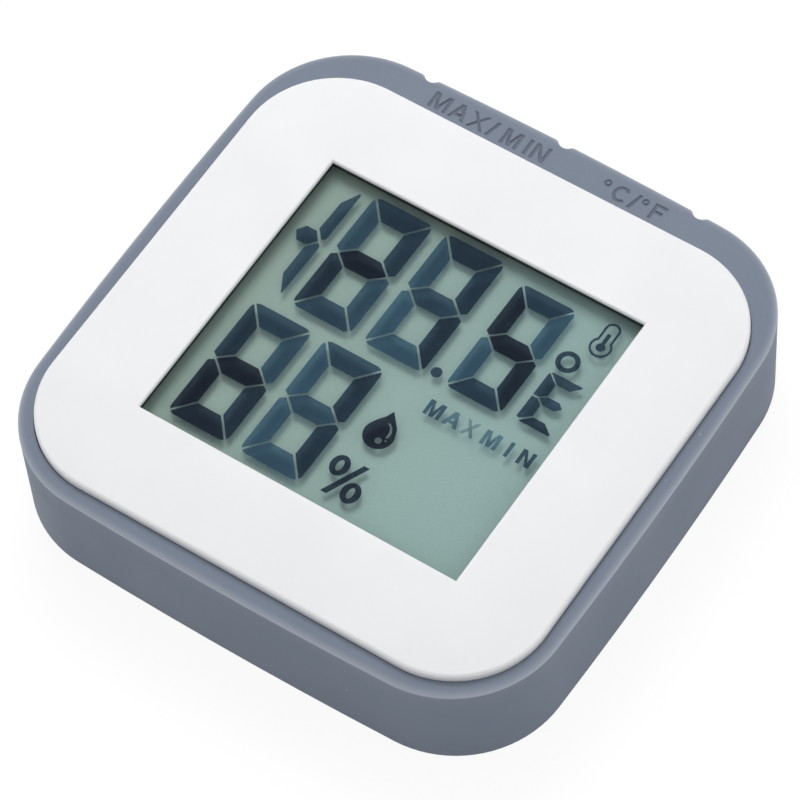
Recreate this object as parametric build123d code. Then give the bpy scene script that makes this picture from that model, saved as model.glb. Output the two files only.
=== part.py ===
from build123d import *
import os
from math import cos, radians, sin

os.makedirs("parts", exist_ok=True)

# The device lies on its back: X is the display's right, Y its top edge, Z comes out of the display.
# The origin is the centre of the back face.

# Whole case
case_width = 60.0
case_height = 60.0
case_depth = 12.75
case_corner = 11.7
side_bow = 0.8
fit_gap = 0.05
overrun = 1.0

# Front plate
plate_side_border = 1.8
plate_end_border = 3.15
plate_corner = 10.0
plate_drop = 1.0
plate_proud = 0.85
plate_edge_round = 0.35
plate_roof = 1.2
plate_wall = 2.1
flange_thick = 1.2
tongue_thick = 0.8
tongue_share = 0.6
window_side_border = 10.1
window_end_border = 10.2
window_edge_round = 0.28
window_rim = 0.4

# Silicone band
band_wall = 1.6
lip_thick = 1.0
ridge_round = 0.35
foot_thick = 1.0
foot_reach = 1.4
foot_round = 0.2
groove_radius = 0.9
groove_depth = 0.5
groove_shoulder = 0.6
groove_pitch = 15.7
plate_gap = 0.1

# Buttons in the band's top wall
button_side_land = 1.25
button_low = 2.4
button_upper_land = 2.25
button_corner = 1.6
button_thick = 1.1
button_gap = 0.15
button_travel = 0.35
nub_width = 4.0
nub_height = 1.6
nub_corner = 0.5
nub_gap = 0.3

# Rear shell
shell_wall = 1.2
shell_floor = 1.2
screw_inset = 7.8
column_radius = 2.9
column_top = 5.0
boss_radius = 2.1
rib_pitch = 16.0
rib_thick = 0.8
rib_depth = 1.5

# Liquid crystal display
mask_thick = 0.7
mask_border = 1.5
mask_gap = 0.1
ledge_width = 2.6
glass_thick = 0.8
film_thick = 0.2
film_inset = 0.5
pocket_gap = 0.15
pocket_rib = 0.8
pocket_rib_drop = 0.3
strip_width = 2.0
strip_end_inset = 1.2
foam_width = 2.5
foam_end_inset = 2.7

# Circuit board
board_thick = 1.0
contact_room_share = 0.4
board_gap = 0.5
post_radius = 1.7
post_inset = 6.6
post_upper_border = 22.0
post_lower_border = 18.0
sensor_border = 11.5
sensor_size = 3.0
sensor_thick = 0.9
sensor_port_radius = 0.5
sensor_port_depth = 0.5
slit_width = 1.0
slit_length = 6.0
slit_offset = 3.4
driver_radius = 3.4
driver_thick = 0.9
driver_round = 0.7
driver_border = 10.4
chip_length = 1.6
chip_width = 0.8
chip_thick = 0.5
chip_pitch = 1.9
chip_border = 11.6
chip_column_gap = 3.0
chips_per_column = 4

# Side-push switches
switch_width = 4.6
switch_length = 2.4
switch_thick = 2.0
switch_cover_thick = 0.15
switch_leg = 1.2
stem_width = 1.6
stem_height = 0.9
stem_reach = 0.9
stem_buried = 0.9
stem_gap = 0.08

# Screws
screw_shank = 1.0
screw_head = 1.8
screw_head_thick = 1.3
screw_sink = 2.25
screw_length = 5.6
board_screw_shank = 0.75
board_screw_head = 1.4
board_screw_head_thick = 0.7
board_screw_length = 2.9
screw_hole_gap = 0.15
thread_gap = 0.02
drive_width = 0.4
drive_depth = 0.45

# Coin cell and its compartment
cell_radius = 10.0
cell_thick = 3.2
cell_cap_radius = 8.8
cell_cap_step = 0.35
cell_edge_round = 0.4
cell_low = 1.95
compartment_outer = 14.4
compartment_clear = 1.6
compartment_bore_gap = 0.3
compartment_top = 5.2
contact_thick = 0.2
contact_width = 3.0
contact_slot_side = 0.3
contact_slot_depth = 0.6
negative_foot = 4.0
negative_tongue = 6.5
positive_foot = 3.3
positive_low = 3.6

# Battery door, a bayonet turned with a coin
door_radius = 13.4
door_gap = 0.1
door_inset = 0.1
door_thick = 1.1
door_edge_round = 0.3
door_play = 0.05
ledge_thick = 1.15
neck_outer = 11.4
neck_wall = 1.0
neck_gap = 0.3
tab_reach = 1.5
tab_thick = 0.8
tab_angle = 20.0
notch_angle = 26.0
tab_count = 3
tab_first_angle = 90.0
door_turn = 35.0
tab_room = 0.3
coin_slot_length = 13.0
coin_slot_width = 1.9
coin_slot_depth = 0.6
cell_pad_radius = 6.0

# Stand, a bail round the battery door
arm_width = 3.2
arm_inner = 14.4
stand_thick = 1.8
stand_inset = 0.15
stand_axis_rise = 17.0
stand_foot_border = 3.8
stand_corner = 5.0
stand_gap = 0.25
stand_edge_round = 0.3
pivot_radius = 0.6
pivot_length = 1.4
pivot_gap = 0.05
pocket_depth = 2.1
pocket_roof = 1.0
hinge_block_half = 2.6
hinge_block_wall = 2.2
scoop_radius = 6.0
scoop_depth = 1.4
scoop_rise = 4.0

# Vents over the sensor
vent_count = 7
vent_pitch = 2.2
vent_width = 1.1
vent_length = 9.0

# Sizes, heights and places that follow from the sizes above
plate_width = case_width - 2 * plate_side_border
plate_height = case_height - 2 * plate_end_border
window_width = plate_width - 2 * window_side_border
window_height = plate_height - 2 * window_end_border
lip_top = case_depth - plate_proud
lip_under = lip_top - lip_thick
split = lip_under - flange_thick
plate_under = case_depth - plate_roof
mask_top = case_depth - window_rim
mask_under = mask_top - mask_thick
front_glass_top = mask_under - film_thick
front_glass_under = front_glass_top - glass_thick
rear_glass_under = front_glass_under - glass_thick
reflector_under = rear_glass_under - film_thick
pocket_rib_low = reflector_under - pocket_rib_drop
cell_top = cell_low + cell_thick
board_under = cell_top + contact_room_share * (reflector_under - cell_top - board_thick)
board_top = board_under + board_thick
tongue_low = split - tongue_share * (split - board_top)
button_high = lip_top - button_upper_land
plate_y = -plate_drop
window_top_y = plate_y + window_height / 2
window_low_y = plate_y - window_height / 2
glass_half = window_width / 2 + mask_border
glass_high_y = window_top_y + mask_border
rear_glass_low_y = window_low_y - mask_border
glass_low_y = rear_glass_low_y - ledge_width
shell_inset = band_wall + fit_gap
inner_inset = shell_inset + shell_wall
foot_inset = band_wall + foot_reach
screw_x = case_width / 2 - screw_inset
screw_y = case_height / 2 - screw_inset
post_x = case_width / 2 - post_inset
post_upper_y = case_height / 2 - post_upper_border
post_lower_y = post_lower_border - case_height / 2
sensor_y = case_height / 2 - sensor_border
driver_x = driver_border - case_width / 2
driver_y = (post_upper_y + post_lower_y) / 2
chip_column_x = case_width / 2 - chip_border
switch_z = board_under - switch_thick / 2
wall_outer_y = case_height / 2
button_inner_y = wall_outer_y - button_thick
nub_tip_y = wall_outer_y - inner_inset - nub_gap
switch_front_y = nub_tip_y - stem_reach
door_face = door_inset + door_thick
ledge_low = door_face + door_play
ledge_high = ledge_low + ledge_thick
tab_low = ledge_high + door_play
tab_high = tab_low + tab_thick
tab_roof = tab_high + tab_room
tab_outer = neck_outer + tab_reach
screw_top = screw_sink + screw_head_thick + screw_length
board_screw_top = board_under + board_screw_length
arm_outer = arm_inner + arm_width
stand_foot_y = stand_foot_border - case_height / 2
compartment_y = stand_foot_y + arm_width + compartment_clear + compartment_outer
stand_axis_y = compartment_y + stand_axis_rise
scoop_y = stand_foot_y + scoop_rise
stand_top = stand_inset + stand_thick
stand_axis_z = stand_inset + stand_thick / 2
pivot_bottom = pocket_depth + pocket_roof


def slab(face, low, high):
    """A flat outline as a solid between two heights."""
    return extrude(Pos(0, 0, low) * face, amount=high - low, dir=(0, 0, 1))


def disc(radius, low, high, x=0, y=0):
    return slab(Pos(x, y) * Circle(radius), low, high)


def tube(outer, inner, low, high, x=0, y=0):
    return slab(Pos(x, y) * (Circle(outer) - Circle(inner)), low, high)


def bar(left, right, near, far, low, high):
    """A straight block given by its six faces."""
    face = Pos((left + right) / 2, (near + far) / 2) * Rectangle(right - left, far - near)
    return slab(face, low, high)


def wall_plug(x, z, width, height, corner, near, far):
    """A round-cornered block that runs along Y, through the top wall."""
    plane = Plane(origin=(x, near, z), x_dir=(-1, 0, 0), z_dir=(0, 1, 0))
    return extrude(plane * RectangleRounded(width, height, corner), amount=far - near, dir=(0, 1, 0))


def case_outline(inset):
    """The case from the front, with bowed sides and round corners, drawn in by a wall."""
    half_x = case_width / 2 - inset
    half_y = case_height / 2 - inset
    corner_x = half_x - side_bow
    corner_y = half_y - side_bow
    sides = [
        ThreePointArc((-corner_x, -corner_y), (0, -half_y), (corner_x, -corner_y)),
        ThreePointArc((corner_x, -corner_y), (half_x, 0), (corner_x, corner_y)),
        ThreePointArc((corner_x, corner_y), (0, half_y), (-corner_x, corner_y)),
        ThreePointArc((-corner_x, corner_y), (-half_x, 0), (-corner_x, -corner_y)),
    ]
    face = make_face(sides)
    return fillet(face.vertices(), case_corner - inset)


def plate_outline(grow):
    return Pos(0, plate_y) * RectangleRounded(
        plate_width + 2 * grow, plate_height + 2 * grow, plate_corner + grow
    )


def window_outline(grow):
    return Pos(0, plate_y) * Rectangle(window_width + 2 * grow, window_height + 2 * grow)


def glass_outline(grow, low_y=glass_low_y):
    width = 2 * (glass_half + grow)
    height = glass_high_y - low_y + 2 * grow
    return Pos(0, (glass_high_y + low_y) / 2) * Rectangle(width, height)


def screw_places():
    return [(x, y) for x in (-screw_x, screw_x) for y in (-screw_y, screw_y)]


def post_places():
    return [(x, y) for x in (-post_x, post_x) for y in (post_lower_y, post_upper_y)]


def button_places():
    return {"max_min": -groove_pitch / 2, "unit": groove_pitch / 2}


def window_rim_edges(plate):
    """The four edges where the window meets the plate's front face."""
    reach_x = window_width / 2 + fit_gap
    reach_y = window_height / 2 + fit_gap
    front = plate.edges().group_by(Axis.Z)[-1]
    return [
        edge for edge in front
        if abs(edge.center().X) < reach_x and abs(edge.center().Y - plate_y) < reach_y
    ]


def build_front_plate():
    plate = slab(plate_outline(0), lip_under, case_depth)
    plate = fillet(plate.edges().group_by(Axis.Z)[-1], plate_edge_round)
    plate += slab(case_outline(shell_inset), split, lip_under)
    plate -= slab(plate_outline(-plate_wall), split - overrun, plate_under)
    tongue = case_outline(inner_inset + plate_gap)
    tongue -= case_outline(inner_inset + plate_gap + tongue_thick)
    plate += slab(tongue, tongue_low, split)
    frame = glass_outline(pocket_gap + pocket_rib)
    plate += slab(frame, pocket_rib_low, plate_under)
    for x, y in screw_places():
        plate += disc(boss_radius, column_top, plate_under, x, y)
    for x, y in post_places():
        plate += disc(post_radius, board_top, plate_under, x, y)
    plate -= slab(glass_outline(pocket_gap), pocket_rib_low - overrun, mask_top)
    plate -= slab(window_outline(0), mask_top - overrun, case_depth + overrun)
    plate = fillet(window_rim_edges(plate), window_edge_round)
    for x, y in screw_places():
        pilot = screw_shank + thread_gap
        plate -= disc(pilot, column_top - overrun, screw_top + thread_gap, x, y)
    for x, y in post_places():
        pilot = board_screw_shank + thread_gap
        plate -= disc(pilot, board_top - overrun, board_screw_top + thread_gap, x, y)
    return plate


def side_drop(x):
    """How far the bowed top side has fallen back from its middle."""
    return side_bow * (x / (case_width / 2 - side_bow)) ** 2


def grooved_outline():
    """The case's outline with the round-shouldered grooves between and beside the buttons."""
    face = case_outline(0)
    places = [step * groove_pitch for step in (-1, 0, 1)]
    for x in places:
        groove_y = wall_outer_y - side_drop(x) + groove_radius - groove_depth
        face -= Pos(x, groove_y) * Circle(groove_radius)
    shoulders = [
        corner for corner in face.vertices()
        if corner.Y > 0 and min(abs(corner.X - x) for x in places) < groove_radius
    ]
    return fillet(shoulders, groove_shoulder)


def build_silicone_band():
    band = slab(grooved_outline(), 0, lip_top)
    band = fillet(band.edges().group_by(Axis.Z)[-1], ridge_round)
    band = fillet(band.edges().group_by(Axis.Z)[0], foot_round)
    band -= slab(case_outline(band_wall), foot_thick, lip_under)
    band -= slab(case_outline(foot_inset), -overrun, foot_thick)
    band -= slab(plate_outline(plate_gap), lip_under - overrun, lip_top + overrun)
    for x in button_places().values():
        band -= button_block(x, button_gap, wall_outer_y - band_wall - overrun)
    return band


def button_block(x, grow, near):
    """The button's outline as a block through the top wall, grown by a gap."""
    width = groove_pitch - 2 * button_side_land + 2 * grow
    height = button_high - button_low + 2 * grow
    middle = (button_high + button_low) / 2
    return wall_plug(x, middle, width, height, button_corner + grow, near, wall_outer_y + overrun)


def build_button(x):
    pad = button_block(x, 0, button_inner_y) & slab(case_outline(0), 0, case_depth)
    nub = wall_plug(x, switch_z, nub_width, nub_height, nub_corner, nub_tip_y, button_inner_y)
    return pad + nub


def stand_outline(grow):
    """The bail from behind: two arms and a crossbar with round corners, grown by a gap."""
    outer_width = 2 * (arm_outer + grow)
    inner_width = 2 * (arm_inner - grow)
    end_y = stand_axis_y + stand_thick / 2 + grow
    foot_y = stand_foot_y - grow
    outer = Pos(0, (end_y + foot_y) / 2) * Rectangle(outer_width, end_y - foot_y)
    lower = outer.vertices().group_by(Axis.Y)[0]
    outer = fillet(lower, stand_corner + grow)
    inner_low = stand_foot_y + arm_width + grow
    inner = Pos(0, (end_y + inner_low) / 2) * Rectangle(inner_width, end_y - inner_low)
    lower = inner.vertices().group_by(Axis.Y)[0]
    inner = fillet(lower, stand_corner - arm_width - grow)
    return outer - inner


def board_ribs():
    """Ribs on the four walls that carry the circuit board's edge, in outline."""
    band = case_outline(shell_inset + fit_gap) - case_outline(inner_inset + rib_depth)
    bars = Sketch()
    for step in (-1, 0, 1):
        bars += Pos(step * rib_pitch, 0) * Rectangle(rib_thick, case_height)
        bars += Pos(0, step * rib_pitch) * Rectangle(case_width, rib_thick)
    return band & bars


def build_rear_shell():
    shell = slab(case_outline(foot_inset + fit_gap), 0, foot_thick)
    shell += slab(case_outline(shell_inset), foot_thick, split)
    shell -= slab(case_outline(foot_inset + fit_gap + shell_wall), shell_floor, split + overrun)
    shell -= slab(case_outline(inner_inset), foot_thick + shell_floor, split + overrun)
    inside = slab(case_outline(shell_inset + fit_gap), shell_floor, split)
    for x, y in screw_places():
        shell += disc(column_radius, shell_floor, column_top, x, y)
    shell += disc(compartment_outer, 0, compartment_top, 0, compartment_y)
    roof = slab(stand_outline(stand_gap + pocket_roof), shell_floor, pivot_bottom)
    hinge_x = arm_outer + stand_gap + hinge_block_wall
    roof += bar(-hinge_x, hinge_x, stand_axis_y - hinge_block_half, stand_axis_y + hinge_block_half,
                shell_floor, pivot_bottom)
    roof += bar(-scoop_radius, scoop_radius, stand_foot_y, scoop_y + scoop_radius / 2,
                shell_floor, pivot_bottom)
    shell += roof & inside
    shell += slab(board_ribs(), shell_floor, board_under)
    shell -= slab(stand_outline(stand_gap), -overrun, pocket_depth)
    shell -= cylinder_x(pivot_radius + pivot_gap, arm_outer + stand_gap + pivot_length + pivot_gap)
    scoop = Sphere(scoop_radius)
    shell -= Pos(0, scoop_y, scoop_depth - scoop_radius) * scoop
    shell -= compartment_bores()
    for x, y in screw_places():
        shell -= disc(screw_head + screw_hole_gap, -overrun, screw_sink + screw_head_thick, x, y)
        shell -= disc(screw_shank + screw_hole_gap, 0, column_top + overrun, x, y)
    for number in range(vent_count):
        x = (number - (vent_count - 1) / 2) * vent_pitch
        vent = Pos(x, sensor_y) * SlotOverall(vent_length, vent_width, rotation=90)
        shell -= slab(vent, -overrun, shell_floor + overrun)
    for x in button_places().values():
        shell -= wall_plug(x, switch_z, nub_width + 2 * nub_gap, nub_height + 2 * nub_gap,
                           nub_corner, wall_outer_y - inner_inset - overrun, wall_outer_y)
    return shell


def cylinder_x(radius, half_length):
    """A round bar along the stand's axis."""
    plane = Plane(origin=(-half_length, stand_axis_y, stand_axis_z), z_dir=(1, 0, 0))
    return extrude(plane * Circle(radius), amount=2 * half_length)


def sector(inner, outer, middle_angle, spread, low, high):
    """Part of a ring about the battery door's axis."""
    reach = 2 * outer
    half = radians(spread / 2)
    wedge = make_face(Polyline((0, 0), (reach * cos(half), -reach * sin(half)),
                               (reach * cos(half), reach * sin(half)), close=True))
    ring = (Circle(outer) - Circle(inner)) & wedge
    return slab(Pos(0, compartment_y) * Rot(0, 0, middle_angle) * ring, low, high)


def tab_angles(turn):
    return [tab_first_angle + turn + number * 360 / tab_count for number in range(tab_count)]


def compartment_bores():
    """All that is hollow in the coin cell's compartment, as one cutter."""
    y = compartment_y
    bore = disc(door_radius + door_gap, -overrun, ledge_low, 0, y)
    bore += disc(neck_outer + neck_gap, 0, tab_roof, 0, y)
    bore += disc(tab_outer + neck_gap, ledge_high, tab_roof, 0, y)
    bore += disc(cell_radius + compartment_bore_gap, 0, compartment_top + overrun, 0, y)
    for angle in tab_angles(-door_turn):
        bore += sector(neck_outer, tab_outer + neck_gap, angle, notch_angle, 0, tab_roof)
    slot_half = contact_width / 2 + contact_slot_side
    slot_x = cell_radius + compartment_bore_gap + contact_slot_depth
    bore += bar(-slot_x, 0, y - slot_half, y + slot_half, tab_roof, compartment_top + overrun)
    return bore


def build_battery_door():
    y = compartment_y
    door = disc(door_radius, door_inset, door_face, 0, y)
    door = fillet(door.edges().group_by(Axis.Z)[0], door_edge_round)
    door += tube(neck_outer, neck_outer - neck_wall, door_face, tab_high, 0, y)
    for angle in tab_angles(0):
        door += sector(neck_outer - neck_wall / 2, tab_outer, angle, tab_angle, tab_low, tab_high)
    door += disc(cell_pad_radius, door_face, cell_low, 0, y)
    slot = Pos(0, y) * SlotOverall(coin_slot_length, coin_slot_width)
    door -= slab(slot, 0, door_inset + coin_slot_depth)
    return door


def build_stand():
    stand = slab(stand_outline(0), stand_inset, stand_top)
    ends = stand.edges().filter_by(Axis.X).group_by(Axis.Y)[-1]
    stand = fillet(ends, stand_thick / 2 - fit_gap)
    stand = fillet(stand.edges().group_by(Axis.Z)[0], stand_edge_round)
    pins = cylinder_x(pivot_radius, arm_outer + pivot_length)
    pins -= cylinder_x(2 * pivot_radius, arm_inner + arm_width / 2)
    return stand + pins


def build_coin_cell():
    low = cell_low
    high = cell_top
    can = disc(cell_radius, low, high - cell_cap_step, 0, compartment_y)
    can = fillet(can.edges(), cell_edge_round)
    return can + disc(cell_cap_radius, low + cell_thick / 2, high, 0, compartment_y)


def build_negative_contact():
    """A leaf soldered to the board that springs down to the cell's cap."""
    high = board_under
    touch = cell_top
    thick = contact_thick
    points = [
        (negative_foot, high), (negative_foot, high - thick), (0, high - thick),
        (-negative_tongue, touch), (-negative_tongue - thick, touch + thick),
        (0, high),
    ]
    profile = Plane.XZ * make_face(Polyline(*points, close=True))
    leaf = extrude(profile, amount=contact_width / 2, both=True)
    return Pos(negative_tongue / 2, compartment_y, 0) * leaf


def build_positive_contact():
    """An angle of spring strip whose leg presses on the cell's side."""
    near = cell_radius + fit_gap
    half = contact_width / 2
    y = compartment_y
    leg = bar(-near - contact_thick, -near, y - half, y + half, positive_low, board_under)
    foot = bar(-near - positive_foot, -near, y - half, y + half, board_under - contact_thick, board_under)
    return leg + foot


def build_circuit_board():
    board = slab(case_outline(inner_inset + board_gap), board_under, board_top)
    for x, y in screw_places():
        board -= disc(boss_radius + board_gap, board_under - overrun, board_top + overrun, x, y)
    for x, y in post_places():
        hole = board_screw_shank + screw_hole_gap
        board -= disc(hole, board_under - overrun, board_top + overrun, x, y)
    for x in (-slit_offset, slit_offset):
        slit = Pos(x, sensor_y) * SlotOverall(slit_length, slit_width, rotation=90)
        board -= slab(slit, board_under - overrun, board_top + overrun)
    slit = Pos(0, sensor_y - slit_length / 2) * SlotOverall(slit_length - slit_width, slit_width)
    board -= slab(slit, board_under - overrun, board_top + overrun)
    return board


def build_chip_components():
    chips = Part()
    for column in (0, 1):
        for row in range(chips_per_column):
            x = chip_column_x + column * chip_column_gap
            y = (row - (chips_per_column - 1) / 2) * chip_pitch
            chips += bar(x - chip_length / 2, x + chip_length / 2, y - chip_width / 2, y + chip_width / 2,
                         board_under - chip_thick, board_under)
    return chips


def build_display_driver():
    drop = disc(driver_radius, board_under - driver_thick, board_under, driver_x, driver_y)
    return fillet(drop.edges().group_by(Axis.Z)[0], driver_round)


def build_humidity_sensor():
    half = sensor_size / 2
    can = bar(-half, half, sensor_y - half, sensor_y + half, board_under - sensor_thick, board_under)
    face = board_under - sensor_thick
    can -= disc(sensor_port_radius, face - overrun, face + sensor_port_depth, 0, sensor_y)
    return can


def build_switch(x):
    half = switch_width / 2
    front = switch_front_y
    body = bar(x - half, x + half, front - switch_length, front, board_under - switch_thick, board_under)
    room = stem_buried + button_travel + stem_gap
    stem_side = stem_width / 2 + stem_gap
    stem_rise = stem_height / 2 + stem_gap
    body -= bar(x - stem_side, x + stem_side, front - room, front + overrun,
                switch_z - stem_rise, switch_z + stem_rise)
    return body


def build_switch_cover(x):
    """The steel cover: a plate under the body with a leg down each side to the board."""
    half = switch_width / 2
    front = switch_front_y
    low = board_under - switch_thick
    cover = bar(x - half - switch_cover_thick, x + half + switch_cover_thick, front - switch_length, front,
                low - switch_cover_thick, low)
    for side in (-1, 1):
        inner = x + side * half
        outer = x + side * (half + switch_cover_thick)
        cover += bar(min(inner, outer), max(inner, outer), front - switch_length,
                     front - switch_length + switch_leg, low - switch_cover_thick, board_under)
    return cover


def build_switch_stem(x):
    half = stem_width / 2
    rise = stem_height / 2
    return bar(x - half, x + half, switch_front_y - stem_buried, nub_tip_y,
               switch_z - rise, switch_z + rise)


def build_screw(x, y, low, head, head_thick, shank, length):
    """One screw, head down, with a cross in its head."""
    screw = disc(head, low, low + head_thick, x, y)
    screw += disc(shank, low + head_thick, low + head_thick + length, x, y)
    for turn in (0, 90):
        slot = Pos(x, y) * Rot(0, 0, turn) * Rectangle(head, drive_width)
        screw -= slab(slot, low - overrun, low + drive_depth)
    return screw


def build_housing_screws():
    screws = Part()
    for x, y in screw_places():
        screws += build_screw(x, y, screw_sink, screw_head, screw_head_thick, screw_shank, screw_length)
    return screws


def build_board_screws():
    screws = Part()
    low = board_under - board_screw_head_thick
    for x, y in post_places():
        screws += build_screw(x, y, low, board_screw_head, board_screw_head_thick,
                              board_screw_shank, board_screw_length)
    return screws


def build_display():
    """The liquid crystal display's layers and what holds them."""
    mask = glass_outline(0) - window_outline(mask_gap)
    film = glass_outline(-film_inset, rear_glass_low_y)
    rear_glass = glass_outline(0, rear_glass_low_y)
    return {
        "display_mask": slab(mask, mask_under, mask_top),
        "front_polarizer": slab(film, front_glass_top, mask_under),
        "display_front_glass": slab(glass_outline(0), front_glass_under, front_glass_top),
        "display_rear_glass": slab(rear_glass, rear_glass_under, front_glass_under),
        "display_reflector": slab(film, reflector_under, rear_glass_under),
        "contact_strip": build_contact_strip(),
        "foam_strip": build_foam_strip(),
    }


def build_contact_strip():
    half = glass_half - strip_end_inset
    middle = glass_low_y + ledge_width / 2
    return bar(-half, half, middle - strip_width / 2, middle + strip_width / 2,
               board_top, front_glass_under)


def build_foam_strip():
    half = glass_half - foam_end_inset
    far = glass_high_y - film_inset
    return bar(-half, half, far - foam_width, far, board_top, reflector_under)


pieces = {
    "front_plate": build_front_plate(),
    "silicone_band": build_silicone_band(),
    "rear_shell": build_rear_shell(),
    "battery_door": build_battery_door(),
    "stand": build_stand(),
    "coin_cell": build_coin_cell(),
    "positive_contact": build_positive_contact(),
    "negative_contact": build_negative_contact(),
    "circuit_board": build_circuit_board(),
    "chip_components": build_chip_components(),
    "display_driver": build_display_driver(),
    "humidity_sensor": build_humidity_sensor(),
    "housing_screws": build_housing_screws(),
    "board_screws": build_board_screws(),
}
pieces.update(build_display())
for name, x in button_places().items():
    pieces[name + "_button"] = build_button(x)
    pieces[name + "_switch"] = build_switch(x)
    pieces[name + "_switch_cover"] = build_switch_cover(x)
    pieces[name + "_switch_stem"] = build_switch_stem(x)

for name, piece in pieces.items():
    export_step(piece, "parts/" + name + ".step")
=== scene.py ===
import math

import bmesh
import bpy
from bpy.props import FloatProperty, FloatVectorProperty, IntProperty, PointerProperty
from mathutils import Matrix, Vector
from mathutils.geometry import tessellate_polygon


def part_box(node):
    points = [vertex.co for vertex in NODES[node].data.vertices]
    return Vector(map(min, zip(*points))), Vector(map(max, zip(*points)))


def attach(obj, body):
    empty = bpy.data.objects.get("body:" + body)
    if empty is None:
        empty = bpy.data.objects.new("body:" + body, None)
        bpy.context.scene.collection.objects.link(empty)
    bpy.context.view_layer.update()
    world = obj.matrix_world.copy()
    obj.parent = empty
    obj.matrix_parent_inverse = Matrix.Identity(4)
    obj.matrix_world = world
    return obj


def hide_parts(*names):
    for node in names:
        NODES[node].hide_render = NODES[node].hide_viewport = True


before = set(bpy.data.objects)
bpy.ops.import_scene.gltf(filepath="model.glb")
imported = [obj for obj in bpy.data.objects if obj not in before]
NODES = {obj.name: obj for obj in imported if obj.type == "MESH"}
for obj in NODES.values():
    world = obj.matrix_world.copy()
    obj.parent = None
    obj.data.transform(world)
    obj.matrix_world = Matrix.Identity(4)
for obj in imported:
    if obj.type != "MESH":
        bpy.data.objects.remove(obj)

bl_info = {
    "name": "Temperature Humidity Sensor",
    "version": (1, 0, 0),
    "blender": (4, 5, 0),
    "location": "3D View > Sidebar > Sensor",
    "description": "Dresses the packed sensor with its finishes, display and engraving",
    "category": "Object",
}

MM = 0.001

# Lettering and display are laid out in millimetres from the middle of the display's window,
# which the front film shares.
FILM_LOW, FILM_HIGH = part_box("front_polarizer")
WINDOW_Y = (FILM_LOW.y + FILM_HIGH.y) / 2 / MM
CASE_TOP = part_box("front_plate")[1].z
BAND_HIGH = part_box("silicone_band")[1]


def colour_property(name, description, default):
    return FloatVectorProperty(
        name=name, description=description, default=default, size=4, min=0, max=1, subtype="COLOR"
    )


def length_property(name, description, default):
    return FloatProperty(name=name, description=description, default=default, min=0, unit="LENGTH")


def share_property(name, description, default):
    return FloatProperty(name=name, description=description, default=default, min=0, max=1, subtype="FACTOR")


def angle_property(name, description, degrees):
    return FloatProperty(name=name, description=description, default=math.radians(degrees), unit="ROTATION")


def power_property(name, description, default):
    return FloatProperty(name=name, description=description, default=default, min=0, unit="POWER")


class PlateSettings(bpy.types.PropertyGroup):
    colour: colour_property("Colour", "White of the front plate", (0.885, 0.885, 0.9, 1))
    roughness: share_property("Roughness", "Satin of the front plate", 0.42)


class BandSettings(bpy.types.PropertyGroup):
    colour: colour_property("Colour", "Slate grey of the silicone", (0.190, 0.228, 0.292, 1))
    roughness: share_property("Roughness", "Matt of the silicone", 0.6)
    # Painted highlight: how much paler the lip is painted towards its outer edge.
    painted_lip_highlight: share_property("Edge bloom", "How much paler the lip looks towards its outer edge", 0.9)
    corner: length_property("Corner", "Radius of the case's corners", 11.7 * MM)
    side_bow: length_property("Side bow", "How far each side bows outwards", 0.8 * MM)
    letter_depth: length_property("Letter depth", "How deep the button names are sunk", 0.13 * MM)
    letter_stroke: length_property("Letter stroke", "Width of the button names' strokes", 0.37 * MM)
    letter_taper: length_property("Letter taper", "How much wider the letters are at their mouth", 0.14 * MM)


class DisplaySettings(bpy.types.PropertyGroup):
    ground: colour_property("Ground", "Grey green behind the segments", (0.4, 0.595, 0.56, 1))
    pale_ink: colour_property("Pale ink", "Blue of the palest segments", (0.075, 0.165, 0.245, 1))
    dark_ink: colour_property("Dark ink", "Blue black of the darkest segments", (0.018, 0.026, 0.046, 1))
    digit_width: length_property("Digit width", "Width of a large digit", 6.88 * MM)
    digit_height: length_property("Digit height", "Height of a large digit", 14.8 * MM)
    digit_lean: length_property("Digit lean", "How far a digit's top leans to the right", 0.18 * MM)
    upright_width: length_property("Upright width", "Width of a digit's upright segments", 1.97 * MM)
    bar_height: length_property("Bar height", "Height of a digit's level segments", 2.28 * MM)
    segment_gap: length_property("Segment gap", "Width of the light lines between segments", 0.22 * MM)
    digit_corner: length_property("Digit corner", "Radius of a digit's outer corners", 0.9 * MM)
    ink_thick: length_property("Ink thickness", "Thickness of the drawn segments", 0.02 * MM)
    ground_depth: length_property("Ground depth", "How far the ground lies behind the segments", 0.72 * MM)


class BackSettings(bpy.types.PropertyGroup):
    colour: colour_property("Colour", "White of the rear shell, door and stand", (0.84, 0.84, 0.86, 1))
    mark_depth: length_property("Mark depth", "How deep the lock marks are sunk", 0.2 * MM)
    screw_seed: IntProperty(
        name="Screw seed", description="Seed of the angles at which the screws stopped", default=3
    )


class StageSettings(bpy.types.PropertyGroup):
    azimuth: angle_property("Azimuth", "Camera direction from the X axis", -52.0858)
    elevation: angle_property("Elevation", "Camera height over the floor", 58.3529)
    roll: angle_property("Roll", "Turn of the camera about its own axis", -5.2616)
    distance: length_property("Distance", "From the camera to its aim", 438.35 * MM)
    aim: FloatVectorProperty(
        name="Aim", description="Point on the plate's level that the camera looks at",
        default=(2.814 * MM, -3.973 * MM, 0), unit="LENGTH",
    )
    lens: FloatProperty(name="Lens", description="Focal length in millimetres", default=206.52, min=1)
    zenith: share_property("Zenith", "Strength of the light from straight above", 0.36)
    horizon: share_property("Horizon", "Strength of the light from all round", 0.87)
    key: power_property("Key", "Power of the lamp at the upper left", 3.4)
    fill: power_property("Fill", "Power of the lamp at the right", 0.2)


SETTINGS = {
    "sensor_plate": PlateSettings,
    "sensor_band": BandSettings,
    "sensor_display": DisplaySettings,
    "sensor_back": BackSettings,
    "sensor_stage": StageSettings,
}


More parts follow.
